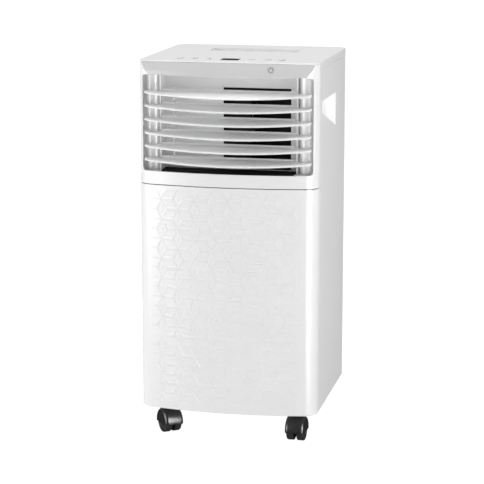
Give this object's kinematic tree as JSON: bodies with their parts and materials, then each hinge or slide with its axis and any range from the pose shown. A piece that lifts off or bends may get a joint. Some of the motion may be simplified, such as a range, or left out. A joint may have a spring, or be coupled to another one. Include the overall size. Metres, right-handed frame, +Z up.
{
  "type": "portable air conditioner",
  "caption": "Slim upright portable air conditioner on swivel casters, with tilting outlet louvres, a lattice front panel, side handle pockets and a rear exhaust collar.",
  "frame": {"origin": "on the floor under the middle of the footprint of the whole object, exhaust collar included", "axes": "+X to the right of someone facing the front, -Y out of the louvred front, +Z up"},
  "size_m": [0.332, 0.348, 0.703],
  "materials": {
    "white": "satin gloss moulded plastic",
    "grey": "matte moulded plastic",
    "black": "satin moulded plastic",
    "rubber": "matte",
    "display": "polished",
    "board": "lacquered board",
    "mesh": "woven nylon net",
    "black_steel": "satin paint",
    "copper": "drawn tube",
    "aluminium": "thin rolled fins",
    "steel": "zinc plated"
  },
  "bodies": {
    "cabinet": {"front_panel": "white", "outlet_bezel": "white", "top_cover": "white", "left_side_panel": "white", "right_side_panel": "white", "rear_panel": "white", "left_handle_cup": "white", "right_handle_cup": "white", "air_duct": "white", "cord_hooks": "white", "base_tray": "grey", "receiver_window": "grey", "exhaust_collar": "grey", "drain_spouts": "grey", "drip_pan": "grey", "hot_fan_housing": "grey", "cord_gland": "black", "cool_fan_housing": "black", "compressor_feet": "rubber", "display_window": "display", "control_board": "board", "compressor": "black_steel", "refrigerant_pipes": "copper", "evaporator": "aluminium", "condenser": "aluminium", "cool_fan_motor": "steel", "hot_fan_motor": "steel", "electrical_box": "steel", "run_capacitor": "steel", "cabinet_screws": "steel"},
    "louver_1": {"louver_1": "white"},
    "louver_2": {"louver_2": "white"},
    "louver_3": {"louver_3": "white"},
    "louver_4": {"louver_4": "white"},
    "louver_5": {"louver_5": "white"},
    "louver_6": {"louver_6": "white"},
    "louver_link": {"louver_link": "white"},
    "key_power": {"key_power": "white"},
    "key_mode": {"key_mode": "white"},
    "key_speed": {"key_speed": "white"},
    "key_down": {"key_down": "white"},
    "key_up": {"key_up": "white"},
    "key_timer": {"key_timer": "white"},
    "filter": {"filter_frame": "white", "filter_mesh": "mesh"},
    "upper_drain_cap": {"upper_drain_cap": "rubber"},
    "lower_drain_cap": {"lower_drain_cap": "rubber"},
    "cool_fan": {"cool_fan_wheel": "black"},
    "hot_fan": {"hot_fan_wheel": "grey"},
    "caster_front_left": {"caster_front_left": "black"},
    "wheels_front_left": {"wheels_front_left": "black"},
    "caster_front_right": {"caster_front_right": "black"},
    "wheels_front_right": {"wheels_front_right": "black"},
    "caster_rear_left": {"caster_rear_left": "black"},
    "wheels_rear_left": {"wheels_rear_left": "black"},
    "caster_rear_right": {"caster_rear_right": "black"},
    "wheels_rear_right": {"wheels_rear_right": "black"}
  },
  "joints": [
    {"name": "louver_1_hinge", "type": "hinge", "parent": "cabinet", "child": "louver_1", "pos_m": [0, -0.141, 0.649], "axis": [1, 0, 0], "range_deg": [-20, 12]},
    {"name": "louver_2_hinge", "type": "hinge", "parent": "cabinet", "child": "louver_2", "pos_m": [0, -0.141, 0.6245], "axis": [1, 0, 0], "range_deg": [-20, 12]},
    {"name": "louver_3_hinge", "type": "hinge", "parent": "cabinet", "child": "louver_3", "pos_m": [0, -0.141, 0.6], "axis": [1, 0, 0], "range_deg": [-20, 12]},
    {"name": "louver_4_hinge", "type": "hinge", "parent": "cabinet", "child": "louver_4", "pos_m": [0, -0.141, 0.5755], "axis": [1, 0, 0], "range_deg": [-20, 12]},
    {"name": "louver_5_hinge", "type": "hinge", "parent": "cabinet", "child": "louver_5", "pos_m": [0, -0.141, 0.551], "axis": [1, 0, 0], "range_deg": [-20, 12]},
    {"name": "louver_6_hinge", "type": "hinge", "parent": "cabinet", "child": "louver_6", "pos_m": [0, -0.141, 0.5265], "axis": [1, 0, 0], "range_deg": [-20, 12]},
    {"name": "louver_link_pivot", "type": "hinge", "parent": "louver_1", "child": "louver_link", "pos_m": [-0.1015, -0.13395, 0.65156], "axis": [1, 0, 0], "range_deg": [-12, 20]},
    {"name": "key_power_press", "type": "slide", "parent": "cabinet", "child": "key_power", "axis": [0, 0, -1], "range_m": [0, 0.0008], "stiffness_N_per_m": 400, "springref_m": -0.0004},
    {"name": "key_mode_press", "type": "slide", "parent": "cabinet", "child": "key_mode", "axis": [0, 0, -1], "range_m": [0, 0.0008], "stiffness_N_per_m": 400, "springref_m": -0.0004},
    {"name": "key_speed_press", "type": "slide", "parent": "cabinet", "child": "key_speed", "axis": [0, 0, -1], "range_m": [0, 0.0008], "stiffness_N_per_m": 400, "springref_m": -0.0004},
    {"name": "key_down_press", "type": "slide", "parent": "cabinet", "child": "key_down", "axis": [0, 0, -1], "range_m": [0, 0.0008], "stiffness_N_per_m": 400, "springref_m": -0.0004},
    {"name": "key_up_press", "type": "slide", "parent": "cabinet", "child": "key_up", "axis": [0, 0, -1], "range_m": [0, 0.0008], "stiffness_N_per_m": 400, "springref_m": -0.0004},
    {"name": "key_timer_press", "type": "slide", "parent": "cabinet", "child": "key_timer", "axis": [0, 0, -1], "range_m": [0, 0.0008], "stiffness_N_per_m": 400, "springref_m": -0.0004},
    {"name": "filter_pull", "type": "slide", "parent": "cabinet", "child": "filter", "axis": [0, 1, 0], "range_m": [0, 0.06]},
    {"name": "upper_drain_cap_pull", "type": "slide", "parent": "cabinet", "child": "upper_drain_cap", "axis": [0, 1, 0], "range_m": [0, 0.03]},
    {"name": "lower_drain_cap_pull", "type": "slide", "parent": "cabinet", "child": "lower_drain_cap", "axis": [0, 1, 0], "range_m": [0, 0.03]},
    {"name": "cool_fan_spin", "type": "hinge", "parent": "cabinet", "child": "cool_fan", "pos_m": [-0.048, -0.02, 0.582], "axis": [0, 1, 0], "continuous": true},
    {"name": "hot_fan_spin", "type": "hinge", "parent": "cabinet", "child": "hot_fan", "pos_m": [-0.068, 0.09, 0.385], "axis": [0, 1, 0], "continuous": true},
    {"name": "caster_front_left_swivel", "type": "hinge", "parent": "cabinet", "child": "caster_front_left", "pos_m": [-0.126, -0.114, 0.05], "axis": [0, 0, 1], "continuous": true},
    {"name": "wheels_front_left_roll", "type": "hinge", "parent": "caster_front_left", "child": "wheels_front_left", "pos_m": [-0.11861, -0.12346, 0.021], "axis": [-0.788, -0.6157, 0], "continuous": true},
    {"name": "caster_front_right_swivel", "type": "hinge", "parent": "cabinet", "child": "caster_front_right", "pos_m": [0.126, -0.114, 0.05], "axis": [0, 0, 1], "continuous": true},
    {"name": "wheels_front_right_roll", "type": "hinge", "parent": "caster_front_right", "child": "wheels_front_right", "pos_m": [0.12558, -0.12599, 0.021], "axis": [-0.9994, 0.0349, 0], "continuous": true},
    {"name": "caster_rear_left_swivel", "type": "hinge", "parent": "cabinet", "child": "caster_rear_left", "pos_m": [-0.088, 0.118, 0.05], "axis": [0, 0, 1], "continuous": true},
    {"name": "wheels_rear_left_roll", "type": "hinge", "parent": "caster_rear_left", "child": "wheels_rear_left", "pos_m": [-0.09719, 0.11029, 0.021], "axis": [-0.6428, 0.766, 0], "continuous": true},
    {"name": "caster_rear_right_swivel", "type": "hinge", "parent": "cabinet", "child": "caster_rear_right", "pos_m": [0.088, 0.118, 0.05], "axis": [0, 0, 1], "continuous": true},
    {"name": "wheels_rear_right_roll", "type": "hinge", "parent": "caster_rear_right", "child": "wheels_rear_right", "pos_m": [0.07741, 0.11237, 0.021], "axis": [-0.4695, 0.8829, 0], "continuous": true}
  ],
  "couplings": [
    {"joint": "louver_2_hinge", "follows": "louver_1_hinge", "ratio": 1},
    {"joint": "louver_3_hinge", "follows": "louver_1_hinge", "ratio": 1},
    {"joint": "louver_4_hinge", "follows": "louver_1_hinge", "ratio": 1},
    {"joint": "louver_5_hinge", "follows": "louver_1_hinge", "ratio": 1},
    {"joint": "louver_6_hinge", "follows": "louver_1_hinge", "ratio": 1},
    {"joint": "louver_link_pivot", "follows": "louver_1_hinge", "ratio": -1}
  ]
}
